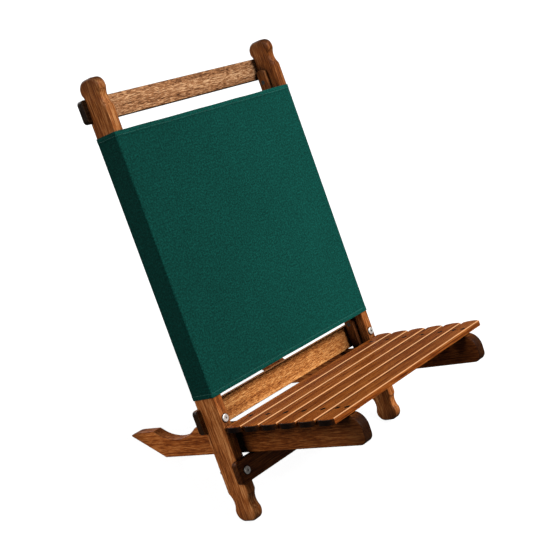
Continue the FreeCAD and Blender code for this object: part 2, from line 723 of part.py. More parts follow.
sub_parts = []
for side, sign in SIDES:
    sub_parts += [make_upright(side, sign), make_batten(side, sign), make_rail(side, sign)]
board_middle = "-(upright_depth - housing_depth + board_thickness / 2)"
sub_parts.append(make_board("top_rail", board_middle, "top_rail_level", "-board_rear", screwed=True))
sub_parts.append(make_board("lumbar_board", board_middle, "0", board_middle, "lumbar_level", "lumbar_height"))
sub_parts.append(make_board("front_cross_board", "board_thickness / 2 - housing_depth", "front_board_level",
                            "0"))
sub_parts.append(make_canvas())
sub_parts += [make_slat(number) for number in range(1, SLAT_COUNT + 1)]
sub_parts += make_fasteners()
doc.recompute()
check_document()
export(sub_parts)
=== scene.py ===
import json
import math

import bmesh
import bpy
from mathutils import Matrix, Quaternion, Vector, noise


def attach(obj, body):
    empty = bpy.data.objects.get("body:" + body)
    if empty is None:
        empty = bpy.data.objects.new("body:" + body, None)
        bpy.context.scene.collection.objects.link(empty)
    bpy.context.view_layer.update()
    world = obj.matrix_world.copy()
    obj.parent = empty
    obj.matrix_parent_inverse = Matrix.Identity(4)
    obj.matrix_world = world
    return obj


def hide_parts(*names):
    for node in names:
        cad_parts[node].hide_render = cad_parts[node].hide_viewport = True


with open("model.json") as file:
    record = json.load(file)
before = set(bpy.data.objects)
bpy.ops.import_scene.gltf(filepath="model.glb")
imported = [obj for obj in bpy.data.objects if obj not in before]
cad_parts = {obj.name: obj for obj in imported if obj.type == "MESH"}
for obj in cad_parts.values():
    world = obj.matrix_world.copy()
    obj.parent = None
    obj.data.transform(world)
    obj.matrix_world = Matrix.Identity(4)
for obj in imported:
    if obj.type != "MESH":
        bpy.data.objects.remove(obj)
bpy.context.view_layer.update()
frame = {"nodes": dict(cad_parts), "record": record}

# ---------------------------------------------------------------- sizes: metres, with angles in degrees

RECLINE = 33.5
PITCH = 31.2
# where the lumbar bolts meet the uprights' front faces, which the back is measured from
BACK_ORIGIN = Vector((0, -0.0582, 0.18095))

# the sling, measured to the middle of the cloth's thickness
CANVAS_TOP = 0.528
CANVAS_BOTTOM = 0.042
CANVAS_THICKNESS = 0.0011
SIDE_X = 0.2408
LEG_X = 0.2182
FRONT_DEPTH = -0.0008
REAR_DEPTH = 0.0508
LEG_END_DEPTH = 0.0205
CORNER_RADIUS = 0.0028
CORNER_STEPS = 6
CLOTH_STEP = 0.0065
SPAN_HALF = 0.219
SAG = 0.0026
# ripples across the front, and wavering edges: their height, their waves to the metre, and the slices of
# noise that they are cut from
RIPPLE = 0.0012
RIPPLE_ACROSS = 9
RIPPLE_UP = 5
RIPPLE_SLICE = 4.1
EDGE_WAVER = 0.0007
WAVER_WAVES = 14
TOP_SLICE = 7.7
BOTTOM_SLICE = 2.2
# the cloth counts as on a leg this far outside the leg's line, and this far in front of its end
LEG_MARGIN = 0.004
LEG_END_MARGIN = 0.001
# how much of its thickness a rim's rounding takes, and the least angle that is rounded
RIM_SHARE = 0.3
RIM_ANGLE = 50

HEM_HEIGHT = 0.009
HEM_STEP = 0.0003
# the breadth of the slope where a hem begins
HEM_SLOPE = 0.0012
HEM_THICKNESS = 0.001
HEM_HALF_SPAN = 0.2145
# how far the turned-under ply stays inside the cloth's edge, and off the cloth
PLY_INSET = 0.0006
PLY_GAP = 0.0001
# how far the stitches stay inside the hem
SEAM_INSET = 0.0015
STITCH_PITCH = 0.0036
STITCH_LENGTH = 0.0026
THREAD_RADIUS = 0.0003
# each stitch's rings of thread: place along it, and share of the full radius
STITCH_RINGS = ((0.12, 0.7), (0.35, 1.0), (0.65, 1.0), (0.88, 0.7))
STITCH_SIDES = 6

CAMERA_AT = Vector((-1.5159, -1.0228, 1.2837))
CAMERA_AIM = Vector((-0.0107, 0.0151, 0.3495))
CAMERA_ROLL = 7.447
LENS = 71.2

FLOOR_REACH = 30
FLOOR_COLOUR = (0.12, 0.12, 0.12)
AMBIENT = 0.12
# lamp: the way to it, the strength it gives a surface that faces it, and how wide it looks
LIGHTS = {
    "key": ((0.22, -0.46, 0.86), 1.52, 12),
    "left_fill": ((-0.86, 0.28, 0.42), 0.68, 35),
    "rear_fill": ((0.1, 0.99, 0.02), 0.64, 40),
}
BACKDROP_LIGHT = ((0, 0, 1), 7.0, 10)


# ---------------------------------------------------------------- shader nodes

# the Mix node's factor and its two colours, among its inputs for every data type
MIX_RGBA_INPUTS = (0, 6, 7)
# the vector operations whose result is a number
MEASURES = ("DISTANCE", "DOT_PRODUCT", "LENGTH")


def feed(tree, socket, value):
    """Sets a socket to a value, or links it to another node's socket."""
    if isinstance(value, bpy.types.NodeSocket):
        tree.links.new(value, socket)
    elif socket.type == "RGBA" and len(value) == 3:
        socket.default_value = (*value, 1)
    else:
        socket.default_value = value


def add(tree, kind, inputs, **settings):
    """Adds a shader node of that kind, makes its settings, and feeds its inputs."""
    made = tree.nodes.new("ShaderNode" + kind)
    for name, value in settings.items():
        setattr(made, name, value)
    for name, value in inputs.items():
        feed(tree, made.inputs[name], value)
    return made


def maths(tree, operation, first, second=0.0, clamp=False):
    """The result of an operation on numbers."""
    inputs = {0: first, 1: second}
    return add(tree, "Math", inputs, operation=operation, use_clamp=clamp).outputs[0]


def vector_maths(tree, operation, first, second=(0, 0, 0)):
    """The result of an operation on vectors, which is a number for the MEASURES."""
    made = add(tree, "VectorMath", {0: first, 1: second}, operation=operation)
    return made.outputs["Value" if operation in MEASURES else "Vector"]


def noise_value(tree, vector, stretch, detail=2.0, roughness=0.5):
    """Smooth noise with stretch[i] waves to the metre along each axis."""
    scaled = vector_maths(tree, "MULTIPLY", vector, stretch)
    inputs = {"Vector": scaled, "Scale": 1.0, "Detail": detail, "Roughness": roughness}
    return add(tree, "TexNoise", inputs).outputs["Fac"]


def blend_value(tree, amount, first, second):
    """first where amount is 0, second where it is 1."""
    step = maths(tree, "MULTIPLY", maths(tree, "SUBTRACT", second, first), amount)
    return maths(tree, "ADD", first, step)


def spread(tree, value, low, high, to_low=0.0, to_high=1.0):
    """Maps low..high smoothly to to_low..to_high."""
    inputs = {"Value": value, "From Min": low, "From Max": high, "To Min": to_low, "To Max": to_high}
    return add(tree, "MapRange", inputs, interpolation_type="SMOOTHSTEP").outputs[0]


def colours(tree, value, stops):
    """A colour ramp through (place, colour) stops."""
    ramp = add(tree, "ValToRGB", {"Fac": value})
    elements = ramp.color_ramp.elements
    while len(elements) < len(stops):
        elements.new(0.5)
    for element, (place, colour) in zip(elements, stops):
        element.position = place
        element.color = (*colour, 1)
    return ramp.outputs["Color"]


def mix_colours(tree, amount, first, second):
    """first where amount is 0, second where it is 1."""
    made = tree.nodes.new("ShaderNodeMix")
    made.data_type = "RGBA"
    factor, start, end = (made.inputs[index] for index in MIX_RGBA_INPUTS)
    feed(tree, factor, amount)
    feed(tree, start, first)
    feed(tree, end, second)
    return made.outputs[2]


def product(tree, amounts):
    """All the amounts multiplied together."""
    result = amounts[0]
    for amount in amounts[1:]:
        result = maths(tree, "MULTIPLY", result, amount)
    return result


def darken(tree, colour, amount):
    """A colour times a grey amount, which may pass 1."""
    grey = add(tree, "CombineXYZ", {0: amount, 1: amount, 2: amount}).outputs[0]
    return vector_maths(tree, "MULTIPLY", colour, grey)


def emboss(tree, shader, height, strength, depth):
    """Gives a shader bump, up to depth metres deep."""
    bump = add(tree, "Bump", {"Strength": strength, "Distance": depth, "Height": height})
    feed(tree, shader.inputs["Normal"], bump.outputs[0])


def new_material(name, **sockets):
    """A material with its shader's constant sockets set; names are the sockets' with _ for a space."""
    made = bpy.data.materials.new(name)
    made.use_nodes = True
    shader = made.node_tree.nodes["Principled BSDF"]
    for key, value in sockets.items():
        feed(made.node_tree, shader.inputs[key.replace("_", " ")], value)
    return made, made.node_tree, shader


# ---------------------------------------------------------------- wood

# dark, middle and light tones of the kinds of board
BROWN = ((0.064, 0.011, 0.002), (0.32, 0.092, 0.019), (0.70, 0.32, 0.115))
UMBER = ((0.075, 0.010, 0.001), (0.32, 0.080, 0.013), (0.64, 0.24, 0.065))
RUSSET = ((0.070, 0.008, 0.001), (0.33, 0.076, 0.008), (0.64, 0.22, 0.045))
TAWNY = ((0.14, 0.030, 0.006), (0.46, 0.155, 0.034), (0.86, 0.44, 0.16))
SANDY = ((0.055, 0.017, 0.006), (0.39, 0.162, 0.062), (0.95, 0.60, 0.33))
TONE_PLACES = (0.0, 0.5, 1.0)
# the highlight painted on the slats' front arrises, and the light that painted shade leaves on their rear
# ones
PALE_ARRIS_HIGHLIGHT = (0.92, 0.50, 0.24)
REAR_ARRIS_SHADE = 0.35

RING_PITCH = 0.0058
# how far rings and streaks drift off a straight line, in metres, and in how many waves to the metre
DRIFT = (0.009, 0.009, 0)
DRIFT_WAVES = (16, 16, 2.6)
# the broad bands of tone, in waves to the metre, and the streaks' share against theirs
BAND_WAVES = (42, 42, 1.6)
STREAK_SHARE = 0.7
# how much light a pore takes, and how deep it is
PORE_SHADE = 0.6
PORE_DEPTH = 0.00022
# how far along the grain one piece's pattern starts from the one before
SEED_STEP = 3.7

# the painted shadow ring round a fastener's head, and the light that it leaves
HEAD_SHADOW_WIDTH = 0.0016
HEAD_SHADOW_SHADE = 0.12
# painted shade where other surfaces stand near, in creases and under the seat: how near they hide a place,
# how open it is where the shade is darkest and where it ends, and the light that the darkest keeps
CREVICE_PAINTED_SHADE = (0.0035, 0.35, 0.85, 0.3)
SHELTER_PAINTED_SHADE = (0.12, 0.28, 0.8, 0.05)

# the slope of the back section's front faces, up from level
BACK_SLOPE = 90 - RECLINE
# A reach is more than a head's breadth and less than the room to the next head, so it tells the heads of
# one node apart.
BOLT_REACH = 0.017
SCREW_REACH = 0.010

# How each kind of piece is cut and worn, and the light and shade painted on it:
#   grain     the turns about X and then Y that square it up and lay its grain along Z
#   fleck     its streaks' width and length
#   contrast  how strongly its streaks show
#   rings     how strongly its growth rings show
#   end       how much light its end grain keeps
#   soak      how far the dark end oil creeps in, and how much light the very end keeps
#   edge      its rounded edges' tone, 1 being the flats', and above 1 a painted highlight
#   arris_highlight  how pale its front arris is painted, as a highlight
#   heads     the fasteners whose heads show on it, the slope of that face up from level, and their reach
CUTS = {
    "upright": {
        "grain": (RECLINE, 0), "fleck": (0.0016, 0.03), "contrast": 0.8, "rings": 0.12, "end": 0.45,
        "soak": (0.03, 0.6), "edge": 0.6, "arris_highlight": 0.0,
        "heads": (["lumbar_bolts"], BACK_SLOPE, BOLT_REACH)},
    # the rails' soaked ends are partly painted shade, for the slats' shadow on the left rail's nose
    "rail": {
        "grain": (PITCH - 90, 0), "fleck": (0.0018, 0.025), "contrast": 0.9, "rings": 0.1, "end": 0.3,
        "soak": (0.05, 0.5), "edge": 0.6, "arris_highlight": 0.0,
        "heads": ([], 0, 0)},
    "board": {
        "grain": (RECLINE, -90), "fleck": (0.0011, 0.011), "contrast": 1.0, "rings": 0.1, "end": 0.3,
        "soak": (0.017, 0.12), "edge": 0.35, "arris_highlight": 0.0,
        "heads": ([], 0, 0)},
    # its lighter rounded edges are a painted highlight
    "low_board": {
        "grain": (RECLINE, -90), "fleck": (0.0015, 0.03), "contrast": 0.8, "rings": 0.2, "end": 0.7,
        "soak": (0.01, 0.5), "edge": 1.3, "arris_highlight": 0.0,
        "heads": (["front_board_bolts"], BACK_SLOPE, BOLT_REACH)},
    "slat": {
        "grain": (PITCH, -90), "fleck": (0.0014, 0.05), "contrast": 0.85, "rings": 0.12, "end": 0.04,
        "soak": (0.003, 0.4), "edge": 1.0, "arris_highlight": 0.5,
        "heads": (["left_slat_screws", "right_slat_screws"], -PITCH, SCREW_REACH)},
}


def grain_frame(name, cut):
    """The turn that lays the grain along Z, the piece's middle after it, and half its grain's length."""
    lean, swing = (math.radians(angle) for angle in cut["grain"])
    turn = Matrix.Rotation(swing, 3, "Y") @ Matrix.Rotation(lean, 3, "X")
    turned = [turn @ vertex.co for vertex in frame["nodes"][name].data.vertices]
    low = Vector([min(point[i] for point in turned) for i in range(3)])
    high = Vector([max(point[i] for point in turned) for i in range(3)])
    return turn.to_euler(), (low + high) / 2, (high.z - low.z) / 2


def make_wood(name, cut, tones, pith, seed, shades):
    """Oiled hardwood: growth rings about a pith line, broad tonal bands, streaks, pores and dark ends, with
    painted shade and highlights.

    pith is the pith's offset from the middle of the piece, across the grain, in metres; shades are its
    brightness at the two ends of its grain."""
    rotation, middle, half_length = grain_frame(name, cut)
    made, tree, shader = new_material(
        name + "_wood", Specular_IOR_Level=0.07, Coat_Weight=0.015, Coat_Roughness=0.3)
    place = add(tree, "TexCoord", {}).outputs
    straight = add(tree, "Mapping", {
        "Vector": place["Object"], "Rotation": rotation, "Location": -middle}).outputs[0]
    grain = drift(tree, straight, (*pith, seed * SEED_STEP))
    streak, pore = fibres(tree, grain, cut["fleck"])

    amounts = [
        *end_shades(tree, straight, streak, half_length, cut["soak"], shades),
        spread(tree, pore, 0.0, 1.0, 1.0, 1.0 - PORE_SHADE * cut["contrast"]),
        *facing_shades(tree, place["Normal"], rotation, cut),
        # painted shadow rings round the fastener heads
        head_shadow_rings(tree, name, place["Object"], *cut["heads"]),
        # painted shade in creases and under the seat
        painted_occlusion_shade(tree, *CREVICE_PAINTED_SHADE),
        painted_occlusion_shade(tree, *SHELTER_PAINTED_SHADE),
    ]
    colour = colours(tree, grain_tone(tree, grain, streak, cut), list(zip(TONE_PLACES, tones)))
    colour = darken(tree, colour, product(tree, amounts))
    # a painted highlight on the front arris, and painted shade on the rear one
    if cut["arris_highlight"]:
        colour = paint_arris_light(tree, colour, place["Normal"], cut["arris_highlight"])
    feed(tree, shader.inputs["Base Color"], colour)

    oiled = spread(tree, streak, 0.3, 0.7, 0.5, 0.36)
    feed(tree, shader.inputs["Roughness"], maths(tree, "ADD", oiled, maths(tree, "MULTIPLY", pore, 0.2)))
    relief = maths(tree, "SUBTRACT", maths(tree, "MULTIPLY", streak, 0.4), pore)
    emboss(tree, shader, relief, 0.5, PORE_DEPTH)
    return made


def drift(tree, straight, offset):
    """Places in the grain: straight ones, moved by offset, that drift a little across it."""
    along = vector_maths(tree, "ADD", straight, offset)
    slow = vector_maths(tree, "MULTIPLY", along, DRIFT_WAVES)
    cloud = add(tree, "TexNoise", {"Vector": slow, "Scale": 1.0, "Detail": 3.0, "Roughness": 0.55})
    return vector_maths(tree, "ADD", along, vector_maths(tree, "MULTIPLY", cloud.outputs["Color"], DRIFT))


def fibres(tree, grain, fleck):
    """The streaks' noise, and the pores': 1 in a pore and 0 between them."""
    width, length = fleck
    streak = noise_value(tree, grain, (1 / width, 1 / width, 1 / length), 3.0, 0.65)
    pore = noise_value(tree, grain, (2.4 / width, 2.4 / width, 3 / length), 2.0, 0.6)
    return streak, spread(tree, pore, 0.54, 0.68)


def grain_tone(tree, grain, streak, cut):
    """The grain's tone, from 0 for dark to 1 for light: streaks over broad bands, less the growth rings."""
    band = noise_value(tree, grain, BAND_WAVES, 2.0, 0.45)
    tone = blend_value(tree, STREAK_SHARE, spread(tree, band, 0.3, 0.7), spread(tree, streak, 0.34, 0.66))
    tone = blend_value(tree, cut["contrast"], 0.5, tone)
    radius = vector_maths(tree, "LENGTH", vector_maths(tree, "MULTIPLY", grain, (1, 1, 0)))
    ring = maths(tree, "FRACT", maths(tree, "DIVIDE", radius, RING_PITCH))
    late_wood = maths(tree, "MULTIPLY", spread(tree, ring, 0.3, 0.9), spread(tree, ring, 1.0, 0.92))
    return maths(tree, "SUBTRACT", tone, maths(tree, "MULTIPLY", late_wood, cut["rings"]), clamp=True)


def end_shades(tree, straight, streak, half_length, soak, shades):
    """The piece's shades from end to end, and the dark oil soaked into its ends; on some pieces both are
    partly painted shade.
    """
    depth, tip = soak
    along = add(tree, "SeparateXYZ", {0: straight}).outputs["Z"]
    ragged = maths(tree, "MULTIPLY", maths(tree, "SUBTRACT", streak, 0.5), depth)
    reach = maths(tree, "ADD", maths(tree, "ABSOLUTE", along), ragged)
    return [
        # the shades from end to end, partly painted shade
        spread(tree, along, -half_length, half_length, *shades),
        spread(tree, reach, half_length - depth, half_length, 1.0, tip),
    ]


def facing_shades(tree, normal, rotation, cut):
    """The shade of the end grain, and that of the rounded edges, which above 1 is a painted highlight."""
    facing = add(tree, "VectorRotate", {"Vector": normal, "Rotation": rotation}, rotation_type="EULER_XYZ")
    sides = add(tree, "SeparateXYZ", {0: vector_maths(tree, "ABSOLUTE", facing.outputs[0])}).outputs
    flatness = maths(tree, "MAXIMUM", maths(tree, "MAXIMUM", sides["X"], sides["Y"]), sides["Z"])
    return [
        spread(tree, sides["Z"], 0.45, 0.95, 1.0, cut["end"]),
        spread(tree, flatness, 0.8, 0.98, cut["edge"], 1.0),
    ]


def paint_arris_light(tree, colour, normal, strength):
    """A slat's front top arris painted pale as a highlight, and its rear one darkened with painted shade.
    """
    pitch = math.radians(PITCH)
    up = Vector((0, math.sin(pitch), math.cos(pitch)))
    rearward = Vector((0, math.cos(pitch), -math.sin(pitch)))
    arrises = [(up + rearward * side).normalized() for side in (-1, 1)]
    front, rear = (
        spread(tree, vector_maths(tree, "DOT_PRODUCT", normal, arris), 0.86, 0.97) for arris in arrises)
    colour = mix_colours(tree, maths(tree, "MULTIPLY", front, strength), colour, PALE_ARRIS_HIGHLIGHT)
    return darken(tree, colour, spread(tree, rear, 0.0, 1.0, 1.0, REAR_ARRIS_SHADE))


def head_shadow_rings(tree, name, place, fasteners, slope, reach):
    """Painted shadow rings round the fastener heads on a face that rises rearward by slope: 1 away from
    them.
    """
    rise = Vector((0, math.cos(math.radians(slope)), math.sin(math.radians(slope))))
    on_face = [(vertex.co.x, vertex.co @ rise) for vertex in frame["nodes"][name].data.vertices]
    bounds = [(min(side), max(side)) for side in zip(*on_face)]
    across = add(tree, "SeparateXYZ", {0: place}).outputs["X"]
    up_face = vector_maths(tree, "DOT_PRODUCT", place, rise)
    spot = add(tree, "CombineXYZ", {0: across, 1: up_face}).outputs[0]
    amounts = [1.0]
    for middle, radius in heads_on_face(fasteners, rise, reach):
        if all(low < at < high for at, (low, high) in zip(middle, bounds)):
            away = vector_maths(tree, "DISTANCE", spot, (*middle, 0))
            amounts.append(spread(tree, away, radius, radius + HEAD_SHADOW_WIDTH, HEAD_SHADOW_SHADE, 1.0))
    return product(tree, amounts)


def heads_on_face(fasteners, rise, reach):
    """Each fastener's middle on the face, across and up it, and its radius there."""
    groups = []
    for name in fasteners:
        for vertex in frame["nodes"][name].data.vertices:
            place = Vector((vertex.co.x, vertex.co @ rise))
            near = [group for group in groups if (group[0] - place).length < reach]
            if near:
                near[0].append(place)
            else:
                groups.append([place])
    heads = []
    for group in groups:
        low, high = (Vector([pick(place[i] for place in group) for i in range(2)]) for pick in (min, max))
        heads.append(((low + high) / 2, (high.x - low.x) / 2))
    return heads


def painted_occlusion_shade(tree, near, darkest, unshaded, shade):
    """Painted shade where other surfaces stand near: shade where it is darkest and 1 in the open."""
    openness = add(tree, "AmbientOcclusion", {"Distance": near}, samples=4).outputs["AO"]
    return spread(tree, openness, darkest, unshaded, shade, 1.0)


# ---------------------------------------------------------------- canvas, thread and metal

# colour ramps, from dark to light
CLOTH_TONES = [
    (0.0, (0.0008, 0.0165, 0.0120)),
    (0.5, (0.0022, 0.0420, 0.0325)),
    (1.0, (0.0052, 0.0930, 0.0720)),
]
THREAD_TONES = [(0.3, (0.006, 0.045, 0.036)), (0.7, (0.022, 0.115, 0.09))]
YARN_PITCH = 0.00095
WEAVE_DEPTH = 0.0003
# waves to the metre, across and up the cloth, of the slubs in the upright and the level yarns, and so on
SLUB_UP = (900, 34, 1)
SLUB_ACROSS = (34, 900, 1)
MOTTLE = (300, 300, 1)
PATCHES = (9, 6, 1)
# each one's share in the cloth's tone
SLUB_SHARE = 0.35
MOTTLE_SHARE = 0.5
PATCH_SHARE = 0.15
# shades of places on the sling, 1 being the middle's; painted shade on the sides, and a painted sheen from
# left to right
HEM_SHADE = 1.16
SEAM_SHADE = 0.86
SIDE_PAINTED_SHADE = 0.68
LEFT_PAINTED_SHEEN = 0.86
RIGHT_PAINTED_SHEEN = 1.16
# half the breadth over which one shade passes into the next
HEM_BLUR = 0.0008
SEAM_BLUR = 0.001
SIDE_BLUR = 0.002
# how far past the hem a seam's dark line begins to fade, and how far it is gone
SEAM_NEAR = 0.0012
SEAM_FAR = 0.003

# material slot: its metal's name, and its dark and light tones
METALS = {
    "nickel": ("bright_nickel", (0.62, 0.58, 0.53), (0.95, 0.92, 0.87)),
    "black_screws": ("black_oxide", (0.002, 0.002, 0.002), (0.008, 0.007, 0.006)),
}
METAL_ROUGHNESS = (0.4, 0.6)
# the light that a wall keeps under its painted shade, and how deep the handling marks are
WALL_PAINTED_SHADE = 0.12
MARK_DEPTH = 0.00008


def make_canvas(name):
    """Woven green cloth. Its pattern follows the cloth's own flat coordinates, in metres."""
    made, tree, shader = new_material(
        name, Roughness=0.85, Specular_IOR_Level=0.04, Sheen_Weight=0.02, Sheen_Roughness=0.5,
        Sheen_Tint=(0.2, 0.9, 0.75))
    flat = add(tree, "UVMap", {}, uv_map="flat").outputs[0]
    parts = add(tree, "SeparateXYZ", {0: flat}).outputs
    across, up = parts["X"], parts["Y"]

    turns = [maths(tree, "MULTIPLY", side, math.pi / YARN_PITCH) for side in (across, up)]
    cross = maths(tree, "MULTIPLY", *(maths(tree, "SINE", turn) for turn in turns))
    crown = maths(tree, "ABSOLUTE", cross)
    over = spread(tree, cross, -0.15, 0.15)
    slub_up, slub_across = (noise_value(tree, flat, slubs, 3.0, 0.6) for slubs in (SLUB_UP, SLUB_ACROSS))
    slub = blend_value(tree, over, slub_up, slub_across)

    colour = colours(tree, cloth_tone(tree, flat, slub), CLOTH_TONES)
    amounts = [spread(tree, crown, 0.0, 0.6, 0.8, 1.06), *cloth_shades(tree, across, up)]
    feed(tree, shader.inputs["Base Color"], darken(tree, colour, product(tree, amounts)))
    emboss(tree, shader, maths(tree, "ADD", maths(tree, "MULTIPLY", crown, 0.6), slub), 0.7, WEAVE_DEPTH)
    return made


def cloth_tone(tree, flat, slub):
    """The cloth's tone, from 0 for dark to 1 for light: its slubs, a fine mottle and broad patches."""
    mottle = noise_value(tree, flat, MOTTLE, 4.0, 0.75)
    patch = noise_value(tree, flat, PATCHES, 2.0, 0.5)
    tone = maths(tree, "ADD", maths(tree, "MULTIPLY", spread(tree, slub, 0.3, 0.7), SLUB_SHARE),
                 maths(tree, "MULTIPLY", spread(tree, mottle, 0.38, 0.62), MOTTLE_SHARE))
    return maths(tree, "ADD", tone, maths(tree, "MULTIPLY", patch, PATCH_SHARE), clamp=True)


def cloth_shades(tree, across, up):
    """The shades of the hems and of the seams beside them, painted shade on the sling's sides, and a
    painted sheen from left to right.
    """
    from_middle = maths(tree, "ABSOLUTE", across)
    from_edge = maths(tree, "SUBTRACT", (CANVAS_TOP - CANVAS_BOTTOM) / 2, maths(tree, "ABSOLUTE", up))
    hem = spread(tree, from_edge, HEM_HEIGHT + HEM_BLUR, HEM_HEIGHT - HEM_BLUR)
    seam = maths(tree, "MULTIPLY", spread(tree, from_edge, HEM_HEIGHT + SEAM_FAR, HEM_HEIGHT + SEAM_NEAR),
                 spread(tree, from_edge, HEM_HEIGHT - SEAM_BLUR, HEM_HEIGHT + SEAM_BLUR))
    return [
        spread(tree, hem, 0.0, 1.0, 1.0, HEM_SHADE),
        spread(tree, seam, 0.0, 1.0, 1.0, SEAM_SHADE),
        # painted shade on the sling's sides
        spread(tree, from_middle, SIDE_X - SIDE_BLUR, SIDE_X + SIDE_BLUR, 1.0, SIDE_PAINTED_SHADE),
        # a painted sheen, darker at the left and lighter at the right
        spread(tree, across, -SIDE_X, SIDE_X, LEFT_PAINTED_SHEEN, RIGHT_PAINTED_SHEEN),
    ]


def make_thread(name):
    """Twisted polyester thread, a little lighter than the cloth."""
    made, tree, shader = new_material(name, Roughness=0.6, Specular_IOR_Level=0.4, Sheen_Weight=0.2)
    place = add(tree, "TexCoord", {}).outputs["Object"]
    twist = noise_value(tree, place, (1800, 1800, 1800), 1.0)
    feed(tree, shader.inputs["Base Color"], colours(tree, twist, THREAD_TONES))
    return made


def make_metal(name, dark, light, axis):
    """Plated metal with fine handling marks and an uneven tone, with painted shade on the walls that run
    along axis.
    """
    made, tree, shader = new_material(name, Metallic=1.0)
    place = add(tree, "TexCoord", {}).outputs
    cloud = noise_value(tree, place["Object"], (260, 260, 260), 4.0, 0.6)
    marks = noise_value(tree, place["Object"], (2400, 500, 1300), 2.0, 0.6)
    along = maths(tree, "ABSOLUTE", vector_maths(tree, "DOT_PRODUCT", place["Normal"], axis))
    wall = spread(tree, along, 0.75, 0.35)
    plate = colours(tree, cloud, [(0.3, dark), (0.7, light)])
    # painted shade on the walls that run along the axis
    tone = darken(tree, plate, spread(tree, wall, 0.0, 1.0, 1.0, WALL_PAINTED_SHADE))
    feed(tree, shader.inputs["Base Color"], tone)
    feed(tree, shader.inputs["Roughness"], spread(tree, marks, 0.3, 0.7, *METAL_ROUGHNESS))
    emboss(tree, shader, marks, 0.25, MARK_DEPTH)
    return made


# ---------------------------------------------------------------- the sling

def on_back(x, depth, level):
    """A point of the reclined back: depth rearward from the uprights' front faces, level up along them."""
    lean = math.radians(RECLINE)
    return BACK_ORIGIN + Vector((
        x,
        depth * math.cos(lean) + level * math.sin(lean),
        level * math.cos(lean) - depth * math.sin(lean),
    ))


def wrap_points():
    """The middle line of the cloth at one level, as (x, depth) points from one inner end to the other."""
    corners = [
        Vector((-LEG_X, LEG_END_DEPTH)),
        Vector((-LEG_X, REAR_DEPTH)),
        Vector((-SIDE_X, REAR_DEPTH)),
        Vector((-SIDE_X, FRONT_DEPTH)),
        Vector((SIDE_X, FRONT_DEPTH)),
        Vector((SIDE_X, REAR_DEPTH)),
        Vector((LEG_X, REAR_DEPTH)),
        Vector((LEG_X, LEG_END_DEPTH)),
    ]
    points = [corners[0]]
    for before, corner, after in zip(corners, corners[1:], corners[2:]):
        way_in = (corner - before).normalized()
        way_out = (after - corner).normalized()
        start = corner - way_in * CORNER_RADIUS
        add_run(points, start)
        centre = start + way_out * CORNER_RADIUS
        for step in range(1, CORNER_STEPS + 1):
            turn = math.pi / 2 * step / CORNER_STEPS
            back = way_out * CORNER_RADIUS * math.cos(turn)
            on = way_in * CORNER_RADIUS * math.sin(turn)
            points.append(centre - back + on)
    add_run(points, corners[-1])
    return points


def add_run(points, end):
    """Adds evenly spaced points from the last one to end."""
    start = points[-1]
    count = max(1, round((end - start).length / CLOTH_STEP))
    for step in range(1, count + 1):
        points.append(start.lerp(end, step / count))


def path_normals(points):
    """The direction away from the wood at each point of the wrap."""
    normals = []
    for index in range(len(points)):
        ahead = points[min(index + 1, len(points) - 1)]
        behind = points[max(index - 1, 0)]
        way = (ahead - behind).normalized()
        normals.append(Vector((way.y, -way.x)))
    return normals


def hem_rise(level):
    """0 on the body of the cloth and 1 on a hem, with a quick slope between them."""
    from_edge = min(CANVAS_TOP - level, level - CANVAS_BOTTOM)
    return min(1.0, max(0.0, (HEM_HEIGHT - from_edge) / HEM_SLOPE + 0.5))


def free_span(x, depth):
    """How freely the cloth can move: 0 where it lies on an upright, 1 halfway across the front."""
    if depth > 0 or abs(x) > SPAN_HALF:
        return 0.0
    return 1 - (x / SPAN_HALF) ** 2


def cloth_point(point, normal, level, outward=0.0):
    """A point of the hung cloth, with its sag, slight ripples, hems and wavering edges."""
    free = free_span(point.x, point.y)
    height = (level - CANVAS_BOTTOM) / (CANVAS_TOP - CANVAS_BOTTOM)
    sag = SAG * free * (0.75 + 0.25 * math.sin(math.pi * height))
    ripple_place = Vector((point.x * RIPPLE_ACROSS, RIPPLE_SLICE, level * RIPPLE_UP))
    ripple = noise.noise(ripple_place) * RIPPLE * math.sqrt(free)
    on_leg = point.y > LEG_END_DEPTH - LEG_END_MARGIN and abs(point.x) < LEG_X + LEG_MARGIN
    rise = 0.0 if on_leg else HEM_STEP * hem_rise(level)
    waver_slice = TOP_SLICE if height > 0.5 else BOTTOM_SLICE
    waver = noise.noise(Vector((point.x * WAVER_WAVES, point.y * WAVER_WAVES, waver_slice))) * EDGE_WAVER
    shift = waver * (2 * height - 1) ** 6
    place = point + normal * (rise + outward)
    return on_back(place.x, place.y + sag + ripple, level + shift)


def cloth_levels():
    """Levels up the cloth, with extra ones where a hem begins."""
    inner_low = CANVAS_BOTTOM + HEM_HEIGHT
    inner_high = CANVAS_TOP - HEM_HEIGHT
    half = HEM_SLOPE / 2
    marks = [CANVAS_BOTTOM, inner_low - half, inner_low + half]
    marks += [inner_high - half, inner_high + half, CANVAS_TOP]
    levels = [marks[0]]
    for start, end in zip(marks, marks[1:]):
        count = max(1, round((end - start) / CLOTH_STEP))
        levels += [start + (end - start) * step / count for step in range(1, count + 1)]
    return levels


